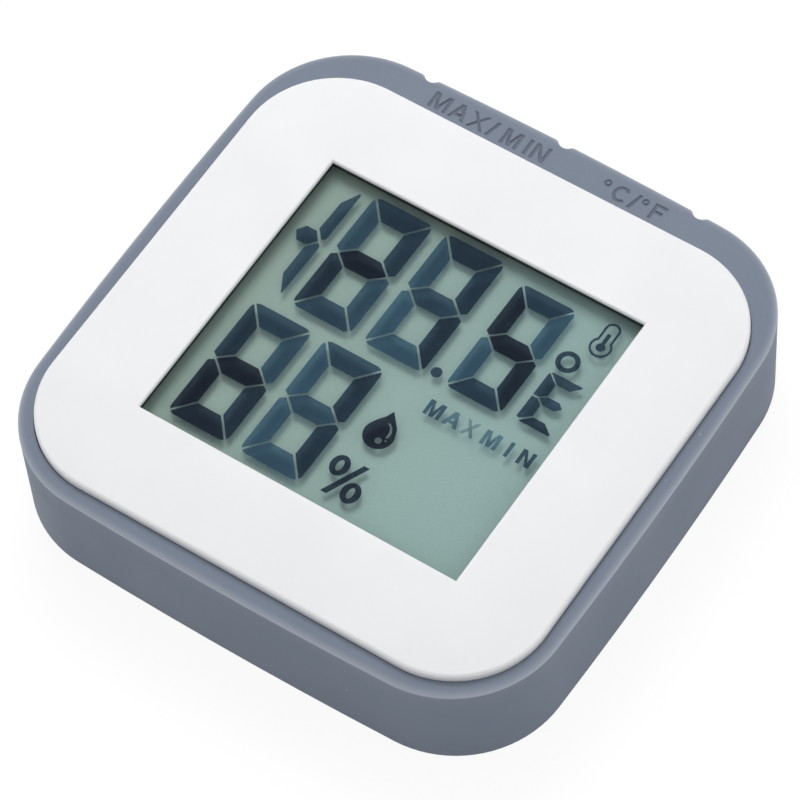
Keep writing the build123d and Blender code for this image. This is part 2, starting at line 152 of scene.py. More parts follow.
def add_node(tree, kind, inputs=None, **settings):
    """A node with its settings; an input is a value, or another node's output to link."""
    made = tree.nodes.new(kind)
    for name, value in settings.items():
        setattr(made, name, value)
    for name, value in (inputs or {}).items():
        if isinstance(value, bpy.types.NodeSocket):
            tree.links.new(value, made.inputs[name])
        else:
            made.inputs[name].default_value = value
    return made


def new_material(name):
    material = bpy.data.materials.new(name)
    material.use_nodes = True
    material.node_tree.nodes.clear()
    return material, material.node_tree


def object_point(tree):
    return add_node(tree, "ShaderNodeTexCoord").outputs["Object"]


def noise(tree, point, size, detail=2.0, roughness=0.5):
    """Noise whose patches are about the given size in metres."""
    made = add_node(
        tree, "ShaderNodeTexNoise",
        {"Vector": point, "Scale": 1 / size, "Detail": detail, "Roughness": roughness},
    )
    return made.outputs["Fac"]


def calculate(tree, operation, first, second=0.0, third=0.0, clamp=False):
    made = add_node(
        tree, "ShaderNodeMath", {0: first, 1: second, 2: third}, operation=operation, use_clamp=clamp
    )
    return made.outputs[0]


def mix_colour(tree, factor, first, second):
    return add_node(tree, "ShaderNodeMix", {0: factor, 6: first, 7: second}, data_type="RGBA").outputs[2]


def remap(tree, value, low, high, new_low, new_high):
    made = add_node(
        tree, "ShaderNodeMapRange",
        {"Value": value, "From Min": low, "From Max": high, "To Min": new_low, "To Max": new_high},
    )
    return made.outputs["Result"]


def shade(colour, factor):
    return (colour[0] * factor, colour[1] * factor, colour[2] * factor, 1)


def bump(tree, height, depth):
    return add_node(tree, "ShaderNodeBump", {"Height": height, "Distance": depth}).outputs["Normal"]


def finish_surface(tree, colour, roughness, normal=None, **fixed):
    """The Principled shader and the output; what is fixed is set on its own sockets."""
    inputs = {"Base Color": colour, "Roughness": roughness}
    if normal is not None:
        inputs["Normal"] = normal
    inputs.update({name.replace("_", " "): value for name, value in fixed.items()})
    shader = add_node(tree, "ShaderNodeBsdfPrincipled", inputs)
    add_node(tree, "ShaderNodeOutputMaterial", {"Surface": shader.outputs[0]})


def moulded(name, colour, roughness, grain_size, grain_depth, drift=0.03, painted_edge_highlight=1.0, **fixed):
    """A moulded surface: slow drift of colour and gloss, fine grain, and, if asked, a painted highlight on
    rounded edges.
    """
    material, tree = new_material(name)
    place = add_node(tree, "ShaderNodeTexCoord")
    point = place.outputs["Object"]
    slow = noise(tree, point, 9 * MM, 3)
    fine = noise(tree, point, grain_size, 4, 0.6)
    mixed = mix_colour(tree, slow, shade(colour, 1 - drift), shade(colour, 1 + drift))
    # Painted highlight: rounded edges are painted paler, for the light they catch.
    if painted_edge_highlight != 1.0:
        rounded = on_rounding(tree, place.outputs["Normal"])
        mixed = mix_colour(tree, rounded, mixed, shade(colour, painted_edge_highlight))
    gloss = remap(tree, slow, 0.3, 0.7, roughness - 0.04, roughness + 0.04)
    finish_surface(tree, mixed, gloss, bump(tree, fine, grain_depth), **fixed)
    return material


def on_rounding(tree, normal):
    """One where a face leans between level and upright, as on a rounded top edge, else none."""
    lean = add_node(tree, "ShaderNodeSeparateXYZ", {"Vector": normal}).outputs["Z"]
    off_upright = remap(tree, lean, 0.04, 0.5, 0, 1)
    off_level = remap(tree, lean, 1.0, 0.65, 0, 1)
    return calculate(tree, "MULTIPLY", off_upright, off_level)


def dust(tree, point, spacing, chosen_from):
    """Tiny spots in a few cells of a random pattern, as a share from none to full."""
    cells = add_node(tree, "ShaderNodeTexVoronoi", {"Vector": point, "Scale": 1 / spacing, "Randomness": 1.0})
    near = remap(tree, cells.outputs["Distance"], 0.04, 0.09, 1, 0)
    chance = add_node(tree, "ShaderNodeSeparateColor", {"Color": cells.outputs["Color"]}).outputs["Red"]
    few = remap(tree, chance, chosen_from, chosen_from + 0.06, 0, 0.6)
    return calculate(tree, "MULTIPLY", near, few, clamp=True)


def rim_depth(tree, point, settings):
    """How far inside the case's bowed and rounded outline a point near the edge lies, in metres."""
    half, corner, bow = BAND_HIGH.x, settings.corner, settings.side_bow
    reach = half - corner
    parts = add_node(tree, "ShaderNodeSeparateXYZ", {"Vector": point}).outputs
    across = [calculate(tree, "ABSOLUTE", parts[axis]) for axis in "XY"]
    beyond = []
    for own, other in (across, across[::-1]):
        capped = calculate(tree, "MINIMUM", other, reach)
        squared = calculate(tree, "MULTIPLY", capped, capped)
        fallen = calculate(tree, "MULTIPLY_ADD", squared, bow / (half - bow) ** 2, own)
        beyond.append(calculate(tree, "MAXIMUM", calculate(tree, "SUBTRACT", fallen, reach), 0.0))
    corner_arm = add_node(tree, "ShaderNodeCombineXYZ", {"X": beyond[0], "Y": beyond[1]}).outputs[0]
    length = add_node(tree, "ShaderNodeVectorMath", {0: corner_arm}, operation="LENGTH").outputs["Value"]
    return calculate(tree, "SUBTRACT", corner, length)


def silicone(name, settings, sunk=0.0):
    """Matt silicone rubber: fine grain, a painted highlight on the edge and a few specks of dust, or painted
    shade where sunk.
    """
    material, tree = new_material(name)
    colour = settings.colour
    place = add_node(tree, "ShaderNodeTexCoord")
    point = place.outputs["Object"]
    slow = noise(tree, point, 12 * MM, 3)
    fine = noise(tree, point, 0.16 * MM, 4, 0.65)
    body = mix_colour(tree, slow, shade(colour, 0.97), shade(colour, 1.03))
    body = mix_colour(tree, remap(tree, fine, 0.3, 0.7, 0, 1), shade(colour, 0.94), body)
    if sunk:
        # Painted shade: sunk faces are painted darker the deeper they lie, for the shade in the letters.
        height = add_node(tree, "ShaderNodeSeparateXYZ", {"Vector": point}).outputs["Z"]
        depth = remap(tree, height, BAND_HIGH.z - sunk, BAND_HIGH.z, 1, 0)
        body = mix_colour(tree, depth, body, shade(colour, 0.68))
    else:
        # Painted highlight: the lip is painted paler towards its outer edge, and paler still on its ridge's
        # rounding.
        inwards = rim_depth(tree, point, settings)
        lean = add_node(tree, "ShaderNodeSeparateXYZ", {"Vector": place.outputs["Normal"]}).outputs["Z"]
        upward = remap(tree, lean, 0.02, 0.15, 0, settings.painted_lip_highlight)
        outward = remap(tree, inwards, 1.0 * MM, 0.02 * MM, 0, 1)
        painted_highlight = calculate(tree, "MULTIPLY", upward, calculate(tree, "POWER", outward, 2.2))
        body = mix_colour(tree, painted_highlight, body, (colour[0] * 1.95, colour[1] * 1.75, colour[2] * 1.55, 1))
        painted_ridge_highlight = remap(tree, inwards, 0.6 * MM, 0.4 * MM, 0, 1)
        painted_ridge_highlight = calculate(tree, "MULTIPLY", painted_ridge_highlight, on_rounding(tree, place.outputs["Normal"]))
        body = mix_colour(tree, painted_ridge_highlight, body, (colour[0] * 2.35, colour[1] * 2.2, colour[2] * 2.0, 1))
        body = mix_colour(tree, dust(tree, point, 1.7 * MM, 0.88), body, (0.5, 0.52, 0.55, 1))
    gloss = remap(tree, slow, 0.3, 0.7, settings.roughness - 0.05, settings.roughness + 0.05)
    finish_surface(tree, body, gloss, bump(tree, fine, 0.01 * MM), Specular_IOR_Level=0.35)
    return material


def brushed_metal(name, colour, roughness, drag_axis=0):
    """Plated steel with fine drag lines along one axis."""
    material, tree = new_material(name)
    stretch = [1 / (0.06 * MM)] * 3
    stretch[drag_axis] = 1 / (1.5 * MM)
    mapped = add_node(tree, "ShaderNodeMapping", {"Vector": object_point(tree), "Scale": stretch})
    lines = noise(tree, mapped.outputs[0], 1.0, 3)
    tinted = mix_colour(tree, lines, shade(colour, 0.85), shade(colour, 1.08))
    gloss = remap(tree, lines, 0.3, 0.7, roughness - 0.08, roughness + 0.08)
    finish_surface(tree, tinted, gloss, bump(tree, lines, 0.004 * MM), Metallic=1.0)
    return material


def clear_layer(name, colour, alpha, roughness):
    """A film or glass of the display: a faint body, otherwise see-through."""
    material, tree = new_material(name)
    fine = noise(tree, object_point(tree), 0.08 * MM, 2)
    tinted = mix_colour(tree, fine, shade(colour, 0.97), shade(colour, 1.03))
    finish_surface(tree, tinted, roughness, Alpha=alpha, Specular_IOR_Level=0.1)
    return material


def display_ground(name, colour):
    """The reflector as it looks through the glass: grey green with a fine pearly grain."""
    material, tree = new_material(name)
    point = object_point(tree)
    slow = noise(tree, point, 14 * MM, 2)
    fine = noise(tree, point, 0.14 * MM, 3, 0.7)
    across = add_node(tree, "ShaderNodeSeparateXYZ", {"Vector": point}).outputs["X"]
    side = remap(tree, across, -16 * MM, 12 * MM, 0, 1)
    base = mix_colour(tree, side, (colour[0], colour[1] * 0.92, colour[2] * 0.85, 1), shade(colour, 1.0))
    grain = remap(tree, fine, 0.3, 0.7, 0.2, 0)
    body = mix_colour(tree, grain, base, (0.1, 0.13, 0.11, 1))
    body = mix_colour(tree, calculate(tree, "MULTIPLY", slow, 0.06), body, (0.3, 0.4, 0.36, 1))
    finish_surface(tree, body, 0.55, Specular_IOR_Level=0.1)
    return material


def display_ink(name, dark, pale):
    """A switched-on segment: blue that lets some light through, as pale as each face's tone of painted shade
    and reflection, fading out above one.
    """
    material, tree = new_material(name)
    tone = add_node(tree, "ShaderNodeAttribute", attribute_name="tone").outputs["Fac"]
    slow = noise(tree, object_point(tree), 2.5 * MM, 2)
    varied = calculate(tree, "MULTIPLY_ADD", slow, 0.3, calculate(tree, "SUBTRACT", tone, 0.15), clamp=True)
    body = add_node(
        tree, "ShaderNodeBsdfPrincipled",
        {"Base Color": mix_colour(tree, varied, dark, pale), "Roughness": 0.5, "Specular IOR Level": 0.0},
    )
    faded = remap(tree, tone, 1, 2, 0, 1)
    tint = mix_colour(tree, varied, (0.4, 0.43, 0.51, 1), (0.62, 0.74, 0.82, 1))
    tint = mix_colour(tree, faded, tint, (1, 1, 1, 1))
    clear = add_node(tree, "ShaderNodeBsdfTransparent", {"Color": tint})
    share = remap(tree, faded, 0, 1, 0.38, 0.1)
    mixed = add_node(tree, "ShaderNodeMixShader", {0: share, 1: clear.outputs[0], 2: body.outputs[0]})
    add_node(tree, "ShaderNodeOutputMaterial", {"Surface": mixed.outputs[0]})
    return material


def striped_rubber(name):
    """The contact strip: thin black layers between pink ones along X."""
    material, tree = new_material(name)
    wave = add_node(
        tree, "ShaderNodeTexWave", {"Vector": object_point(tree), "Scale": 1 / (0.9 * MM), "Distortion": 0.1},
        bands_direction="X",
    )
    layers = mix_colour(tree, wave.outputs["Fac"], (0.02, 0.02, 0.022, 1), (0.55, 0.3, 0.36, 1))
    finish_surface(tree, layers, 0.7)
    return material


def board_surface(name):
    """Green solder mask with raised tracks under it."""
    material, tree = new_material(name)
    tracks = add_node(
        tree, "ShaderNodeTexBrick",
        {"Vector": object_point(tree), "Scale": 1 / (2.4 * MM), "Mortar Size": 0.06, "Mortar Smooth": 0.1,
         "Color1": (0, 0, 0, 1), "Color2": (0.1, 0.1, 0.1, 1), "Mortar": (1, 1, 1, 1)},
    ).outputs["Color"]
    mask = mix_colour(tree, tracks, (0.012, 0.11, 0.04, 1), (0.03, 0.2, 0.08, 1))
    finish_surface(tree, mask, 0.32, bump(tree, tracks, 0.03 * MM), Coat_Weight=0.2)
    return material


def dress(piece, *materials):
    """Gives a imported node, by its name, or a new piece its materials."""
    mesh = NODES[piece].data if isinstance(piece, str) else piece.data
    mesh.materials.clear()
    for material in materials:
        mesh.materials.append(material)


def link_mesh(name, mesh):
    piece = bpy.data.objects.new(name, mesh)
    bpy.context.scene.collection.objects.link(piece)
    return piece


def link_work(name, work):
    """Turns worked geometry into an object with its faces outwards."""
    bmesh.ops.recalc_face_normals(work, faces=work.faces)
    mesh = bpy.data.meshes.new(name)
    work.to_mesh(mesh)
    work.free()
    return link_mesh(name, mesh)


def evaluated_mesh(piece):
    return bpy.data.meshes.new_from_object(piece.evaluated_get(bpy.context.evaluated_depsgraph_get()))


def smooth_by_angle(piece, degrees=28):
    for face in piece.data.polygons:
        face.use_smooth = True
    piece.data.set_sharp_from_angle(angle=math.radians(degrees))


def joined_copy(node_name, name):
    """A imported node's mesh as one joined surface, as a new object."""
    work = bmesh.new()
    work.from_mesh(NODES[node_name].data)
    bmesh.ops.remove_doubles(work, verts=work.verts, dist=0.0005 * MM)
    bmesh.ops.dissolve_degenerate(work, edges=work.edges, dist=0.0001 * MM)
    piece = link_work(name, work)
    if "custom_normal" in piece.data.attributes:
        piece.data.attributes.remove(piece.data.attributes["custom_normal"])
    piece.data.materials.clear()
    return piece


def take_over(piece, node_name, body):
    """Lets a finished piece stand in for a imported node."""
    smooth_by_angle(piece)
    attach(piece, body)
    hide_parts(node_name)


def cut_away(piece, cutter):
    """Takes the cutter's volume from the piece and removes the cutter."""
    modifier = piece.modifiers.new("cut", "BOOLEAN")
    modifier.operation = "DIFFERENCE"
    modifier.solver = "EXACT"
    modifier.use_self = True
    modifier.object = cutter
    mesh = evaluated_mesh(piece)
    piece.modifiers.clear()
    piece.data = mesh
    bpy.data.objects.remove(cutter)


def loft(work, low_loops, low, high_loops, high):
    """A solid between two sets of outlines in millimetres; outlines after the first are holes."""
    levels = [
        [[work.verts.new((x * MM, y * MM, z)) for x, y in loop] for loop in loops]
        for loops, z in ((low_loops, low), (high_loops, high))
    ]
    faces = []
    for level in levels:
        corners = [corner for loop in level for corner in loop]
        for triangle in tessellate_polygon([[corner.co for corner in loop] for loop in level]):
            faces.append(work.faces.new([corners[index] for index in triangle]))
    for bottom, top in zip(*levels):
        for i in range(len(bottom)):
            faces.append(work.faces.new((bottom[i - 1], bottom[i], top[i], top[i - 1])))
    return faces


def prism(work, loops, low, high):
    return loft(work, loops, low, loops, high)


def arc(x, y, radius, start, end, steps, stretch=1.0):
    """Points of an arc in millimetres, from one angle in degrees to another."""
    angles = [math.radians(start + (end - start) * step / steps) for step in range(steps + 1)]
    return [(x + radius * math.cos(angle), y + stretch * radius * math.sin(angle)) for angle in angles]


def oval(x, y, radius, stretch=1.0, steps=48):
    return arc(x, y, radius, 0, 360, steps, stretch)[:-1]


def glyph(text, width, height, stroke):
    """A capital letter's outlines in its own box, in millimetres; a second outline is a hole."""
    w, h, s = width, height, stroke
    middle, thin = w / 2, s / w
    notch = h / (2 * (1 - thin)) - h / 2
    lean = (middle - 0.6 * s) / h
    shapes = {
        "I": [[(0, 0), (w, 0), (w, h), (0, h)]],
        "/": [[(0, 0), (s, 0), (w, h), (w - s, h)]],
        "N": [[(0, 0), (0, h), (1.15 * s, h), (w - s, 0.3 * h), (w - s, h), (w, h), (w, 0),
               (w - 1.15 * s, 0), (s, 0.7 * h), (s, 0)]],
        "M": [[(0, 0), (0, h), (1.35 * s, h), (middle, 0.33 * h), (w - 1.35 * s, h), (w, h), (w, 0),
               (w - s, 0), (w - s, 0.7 * h), (middle + 0.5 * s, 0), (middle - 0.5 * s, 0), (s, 0.7 * h),
               (s, 0)]],
        "A": [[(0, 0), (lean * h, h), (w - lean * h, h), (w, 0), (w - 1.1 * s, 0),
               (w - 1.1 * s - 0.2 * h * lean, 0.2 * h), (1.1 * s + 0.2 * h * lean, 0.2 * h), (1.1 * s, 0)],
              [(1.15 * s + 0.4 * h * lean, 0.4 * h), (w - 1.15 * s - 0.4 * h * lean, 0.4 * h),
               (middle, (middle - 1.15 * s) / lean)]],
        "X": [[(0, 0), (s, 0), (middle, h / 2 - notch), (w - s, 0), (w, 0), (middle + s / 2, h / 2), (w, h),
               (w - s, h), (middle, h / 2 + notch), (s, h), (0, h), (middle - s / 2, h / 2)]],
        "F": [[(0, 0), (0, h), (w, h), (w, h - s), (s, h - s), (s, 0.6 * h), (0.85 * w, 0.6 * h),
               (0.85 * w, 0.6 * h - s), (s, 0.6 * h - s), (s, 0)]],
        "C": [arc(0.56 * w, h / 2, 0.56 * w, 40, 320, 24, h / w / 1.12)
              + arc(0.56 * w, h / 2, 0.56 * w - s, 315, 45, 24, (h / 2 - s) / (0.56 * w - s))],
        "\N{DEGREE SIGN}": [oval(middle, middle, radius, steps=16) for radius in (middle, middle - 0.7 * s)],
    }
    return shapes[text]


def placed_glyph(text, left, right, low, high, stroke, grow=0.0):
    """A letter's outlines in its place, with its strokes grown on both sides."""
    loops = glyph(text, right - left + 2 * grow, high - low + 2 * grow, stroke + 2 * grow)
    return [[(x + left - grow, y + low - grow) for x, y in loop] for loop in loops]


def moved(loops):
    """Outlines laid out from the window's middle, moved to the part's own origin."""
    return [[(x, y + WINDOW_Y) for x, y in loop] for loop in loops]


def set_tones(mesh, tones):
    """Stores how pale each face's ink is, a painted shade and reflection, for the display's material."""
    attribute = mesh.attributes.new("tone", "FLOAT", "FACE")
    for index, value in enumerate(tones):
        attribute.data[index].value = value


def ink_heights(settings):
    """The drawn segments lie within the front film, just under its face."""
    high = FILM_HIGH.z - 0.04 * MM
    return high - settings.ink_thick, high


class SENSOR_OT_front_plate(bpy.types.Operator):
    """Give the front plate and the mask behind its window their finishes"""
    bl_idname = "sensor.front_plate"
    bl_label = "Front plate"

    def execute(self, context):
        settings = context.scene.sensor_plate
        # The plate's rounded edges get a painted highlight, 1.1 times its white.
        white = moulded(
            "satin_white", settings.colour, settings.roughness, 0.35 * MM, 0.0015 * MM, drift=0.006,
            painted_edge_highlight=1.1, Subsurface_Weight=1.0, Subsurface_Scale=0.25 * MM, Subsurface_Radius=(1, 1, 1),
        )
        plate = joined_copy("front_plate", "plate")
        dress(plate, white)
        take_over(plate, "front_plate", "case")
        dress("display_mask", moulded("mask_black", (0.012, 0.012, 0.013, 1), 0.6, 0.2 * MM, 0.004 * MM))
        return {"FINISHED"}


class SENSOR_OT_band(bpy.types.Operator):
    """Engrave the names of the two buttons in the silicone band, and finish the button pads"""
    bl_idname = "sensor.band"
    bl_label = "Silicone band"

    # Each letter with its left and right edge, in millimetres from the window's middle
    letters = (
        ("M", -14.25, -12.2), ("A", -11.9, -10.0), ("X", -9.7, -7.8), ("/", -7.5, -6.6),
        ("M", -5.75, -3.85), ("I", -3.1, -2.7), ("N", -2.3, -0.65),
        ("C", 7.05, 8.65), ("/", 9.05, 9.95), ("F", 11.45, 12.85),
    )
    # Each degree sign's left, right and lower edge
    degree_signs = ((5.73, 6.57, 28.73), (10.1, 10.9, 28.72))
    letters_low = 27.65
    letters_high = 29.6

    def execute(self, context):
        settings = context.scene.sensor_band
        band = joined_copy("silicone_band", "band")
        rubber = silicone("slate_silicone", settings)
        rubber_with_painted_shade = silicone("silicone_with_painted_shade", settings, settings.letter_depth)
        cutter = self.letter_cutter(settings)
        for piece in (band, cutter):
            dress(piece, rubber, rubber_with_painted_shade)
        for face in cutter.data.polygons:
            face.material_index = 1
        cut_away(band, cutter)
        take_over(band, "silicone_band", "case")
        for name in ("max_min_button", "unit_button"):
            pad = joined_copy(name, name + "_pad")
            dress(pad, rubber)
            take_over(pad, name, name)
        return {"FINISHED"}

    def letter_cutter(self, settings):
        stroke, taper = settings.letter_stroke / MM, settings.letter_taper / MM
        places = [(*letter, self.letters_low, self.letters_high) for letter in self.letters]
        for left, right, low in self.degree_signs:
            places.append(("\N{DEGREE SIGN}", left, right, low, low + right - left))
        work = bmesh.new()
        for place in places:
            floor = moved(placed_glyph(*place, stroke, -0.7 * taper))
            mouth = moved(placed_glyph(*place, stroke, 0.3 * taper))
            loft(work, floor, BAND_HIGH.z - settings.letter_depth, mouth, BAND_HIGH.z + 0.01 * MM)
        return link_work("letters", work)


class SENSOR_OT_display_layers(bpy.types.Operator):
    """Give the display's films and glasses their finishes, and lay the ground behind the segments"""
    bl_idname = "sensor.display_layers"
    bl_label = "Display layers"

    def execute(self, context):
        settings = context.scene.sensor_display
        dress("front_polarizer", clear_layer("polarizer", (0.08, 0.1, 0.13, 1), 0.05, 0.3))
        dress("display_front_glass", clear_layer("front_glass", (0.5, 0.56, 0.53, 1), 0.02, 0.05))
        dress("display_rear_glass", clear_layer("rear_glass", (0.5, 0.56, 0.53, 1), 0.25, 0.05))
        reflector = moulded("reflector", (0.3, 0.38, 0.33, 1), 0.35, 0.1 * MM, 0.003 * MM, Metallic=0.6)
        dress("display_reflector", reflector)
        dress("contact_strip", striped_rubber("layered_rubber"))
        dress("foam_strip", moulded("foam", (0.03, 0.03, 0.032, 1), 0.95, 0.3 * MM, 0.12 * MM, drift=0.2))
        low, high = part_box("display_rear_glass")
        inset = 0.2 * MM
        left, right = (low.x + inset) / MM, (high.x - inset) / MM
        near, far = (low.y + inset) / MM, (high.y - inset) / MM
        level = ink_heights(settings)[0] - settings.ground_depth
        work = bmesh.new()
        prism(work, [[(left, near), (right, near), (right, far), (left, far)]], level - 0.05 * MM, level)
        ground = link_work("display_ground", work)
        dress(ground, display_ground("grey_green", settings.ground))
        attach(ground, "case")
        return {"FINISHED"}


def digit_segments(settings):
    """The seven outlines of a digit whose lower left corner is at zero, in millimetres."""
    width, height = settings.digit_width / MM, settings.digit_height / MM
    upright, level = settings.upright_width / MM, settings.bar_height / MM
    half_gap, corner = settings.segment_gap / MM / 2, settings.digit_corner / MM
    middle = height / 2
    along = Vector((upright, -level)).normalized()
    across = Vector((-along.y, along.x))

    def diagonal(side, x=None, y=None):
        """A point beside the corner's light line, on one side of it, at an x or a y."""
        start = Vector((0, height)) + side * half_gap * across
        reach = (x - start.x) / along.x if x is not None else (y - start.y) / along.y
        return tuple(start + reach * along)

    def on_corner(side):
        """The angle at which that side of the light line meets the rounded outer corner."""
        start = Vector((0, height)) + side * half_gap * across - Vector((corner, height - corner))
        b = start.dot(along)
        met = start + (-b - math.sqrt(b * b - start.length_squared + corner * corner)) * along
        return math.degrees(math.atan2(met.y, met.x)) % 360

    def mirrored(outline, flip_x, flip_y):
        return [(width - x if flip_x else x, height - y if flip_y else y) for x, y in outline]

    left_top = arc(corner, height - corner, corner, on_corner(1), 90, 4)
    inner = diagonal(1, y=height - level)
    top = left_top + mirrored(left_top, True, False)[::-1] + [(width - inner[0], inner[1]), inner]

    tip, shoulder, rise = 0.1 * width, 0.3 * width, level / 2
    hexagon = [(tip, middle), (shoulder, middle + rise), (width - shoulder, middle + rise),
               (width - tip, middle), (width - shoulder, middle - rise), (shoulder, middle - rise)]
    edge = Vector((shoulder - tip, rise)).normalized()
    lifted = Vector((tip, middle)) + 2 * half_gap * Vector((-edge.y, edge.x))
    inner_low = lifted + edge * ((upright - lifted.x) / edge.x)
    side_top = arc(corner, height - corner, corner, 180, on_corner(-1), 4)
    upper = side_top + [diagonal(-1, x=upright), tuple(inner_low), tuple(lifted),
                        (lifted.x - 0.05, lifted.y + 0.02), (0, lifted.y + 0.35)]
    return [top, upper, mirrored(upper, True, False), hexagon,
            mirrored(upper, False, True), mirrored(upper, True, True), mirrored(top, False, True)]


def placing_tree(name, shape_name, result_name, seeded):
    """Geometry Nodes that put a shape on every point, by the point's size or at a random turn."""
    tree = bpy.data.node_groups.new(name, "GeometryNodeTree")
    sockets = {"Points": "Geometry", shape_name: "Object", "Material": "Material"}
    if seeded:
        sockets["Turn seed"] = "Int"
    for socket, kind in sockets.items():
        tree.interface.new_socket(socket, in_out="INPUT", socket_type="NodeSocket" + kind)
    tree.interface.new_socket(result_name, in_out="OUTPUT", socket_type="NodeSocketGeometry")
    given = tree.nodes.new("NodeGroupInput").outputs
    shape = add_node(tree, "GeometryNodeObjectInfo", {"Object": given[shape_name]})
    inputs = {"Points": given["Points"], "Instance": shape.outputs["Geometry"]}
    if seeded:
        turn = add_node(
            tree, "FunctionNodeRandomValue", {0: (0, 0, 0), 1: (0, 0, math.tau), "Seed": given["Turn seed"]},
            data_type="FLOAT_VECTOR",
        )
        inputs["Rotation"] = turn.outputs[0]
    else:
        size = add_node(tree, "GeometryNodeInputNamedAttribute", {"Name": "size"}, data_type="FLOAT_VECTOR")
        inputs["Scale"] = size.outputs[0]
    placed = add_node(tree, "GeometryNodeInstanceOnPoints", inputs)
    made = add_node(tree, "GeometryNodeRealizeInstances", {"Geometry": placed.outputs[0]})
    finished = add_node(
        tree, "GeometryNodeSetMaterial", {"Geometry": made.outputs[0], "Material": given["Material"]}
    )
    add_node(tree, "NodeGroupOutput", {result_name: finished.outputs[0]})
    return tree


def run_tree(name, points_mesh, tree, values):
    """Runs a tree on a mesh of points and keeps the result as a plain mesh object."""
    holder = link_mesh(name, points_mesh)
    modifier = holder.modifiers.new("tree", "NODES")
    modifier.node_group = tree
    sockets = {s.name: s.identifier for s in tree.interface.items_tree if s.in_out == "INPUT"}
    for socket, value in values.items():
        modifier[sockets[socket]] = value
    mesh = evaluated_mesh(holder)
    holder.modifiers.clear()
    holder.data = mesh
    return holder


class SENSOR_OT_digits(bpy.types.Operator):
    """Build the five large digits, the leading one and the minus sign"""
    bl_idname = "sensor.digits"
    bl_label = "Digits"

    # Each digit's lower left corner in millimetres, its share of the full width and height, and
    # how pale its segments are painted, as painted shade and reflection: top, upper left, upper right,
    # middle, lower left, lower right, bottom
    digits = (
        ((-12.78, 1.2), (1, 1), (0.35, 0.75, 0.35, 0.0, 0.2, 0.75, 0.55)),
        ((-4.42, 1.22), (1, 1), (0.3, 0.75, 0.3, 0.6, 0.95, 0.25, 0.9)),
        ((5.05, 1.27), (0.916, 0.926), (0.45, 0.05, 0.9, 0.0, 0.9, 0.05, 0.4)),
        ((-16.07, -15.2), (1, 1), (0.5, 0.3, 0.75, 0.0, 0.0, 0.25, 0.1)),
        ((-7.72, -15.17), (1, 1), (0.6, 0.9, 0.3, 0.75, 0.9, 0.3, 0.9)),
    )
    # The leading one's two halves and the minus sign, and how pale each is painted, as painted shade and
    # reflection
    signs = (
        ([(-14.05, 15.45), (-13.88, 15.2), (-13.98, 9.15), (-14.35, 8.9), (-15.25, 9.9),
          (-15.12, 13.5)], 0.5),
        ([(-14.35, 8.45), (-14.02, 8.1), (-14.15, 2.0), (-14.25, 1.65), (-15.35, 3.7),
          (-15.3, 7.35)], 0.6),
        ([(-17.1, 8.62), (-16.45, 9.55), (-15.3, 9.55), (-14.55, 8.6), (-15.3, 7.65),
          (-16.5, 7.65)], 0.4),
    )

    def execute(self, context):
        settings = context.scene.sensor_display
        low, high = ink_heights(settings)
        lean = settings.digit_lean / settings.digit_height
        ink = display_ink("segment_ink", settings.dark_ink, settings.pale_ink)
        work = bmesh.new()
        face_segments = []
        for index, outline in enumerate(digit_segments(settings)):
            faces = prism(work, [[(x + lean * y, y) for x, y in outline]], 0, high - low)
            face_segments += [index] * len(faces)
        shape = link_work("digit_shape", work)
        points = bpy.data.meshes.new("digit_places")
        points.from_pydata([(x * MM, (y + WINDOW_Y) * MM, low) for (x, y), _, _ in self.digits], [], [])
        size = points.attributes.new("size", "FLOAT_VECTOR", "POINT")
        for index, (_, shares, _) in enumerate(self.digits):
            size.data[index].vector = (*shares, 1)
        tree = placing_tree("digits_on_points", "Digit", "Digits", False)
        piece = run_tree("digits", points, tree, {"Digit": shape, "Material": ink})
        bpy.data.objects.remove(shape)
        tones = [painted_paleness[segment] for _, _, painted_paleness in self.digits for segment in face_segments]
        if len(tones) != len(piece.data.polygons):
            raise RuntimeError("the digits don't have the faces that their tones are for")
        set_tones(piece.data, tones)
        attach(piece, "case")
        draw_marks("leading_one_and_minus", settings, [([outline], tone) for outline, tone in self.signs])
        return {"FINISHED"}


def draw_marks(name, settings, marks):
    """A piece of display marks; each mark is its outlines and how pale it is painted, as painted shade and
    reflection.
    """
    low, high = ink_heights(settings)
    work, tones = bmesh.new(), []
    for loops, tone in marks:
        tones += [tone] * len(prism(work, moved(loops), low, high))
    piece = link_work(name, work)
    set_tones(piece.data, tones)
    dress(piece, bpy.data.materials["segment_ink"])
    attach(piece, "case")


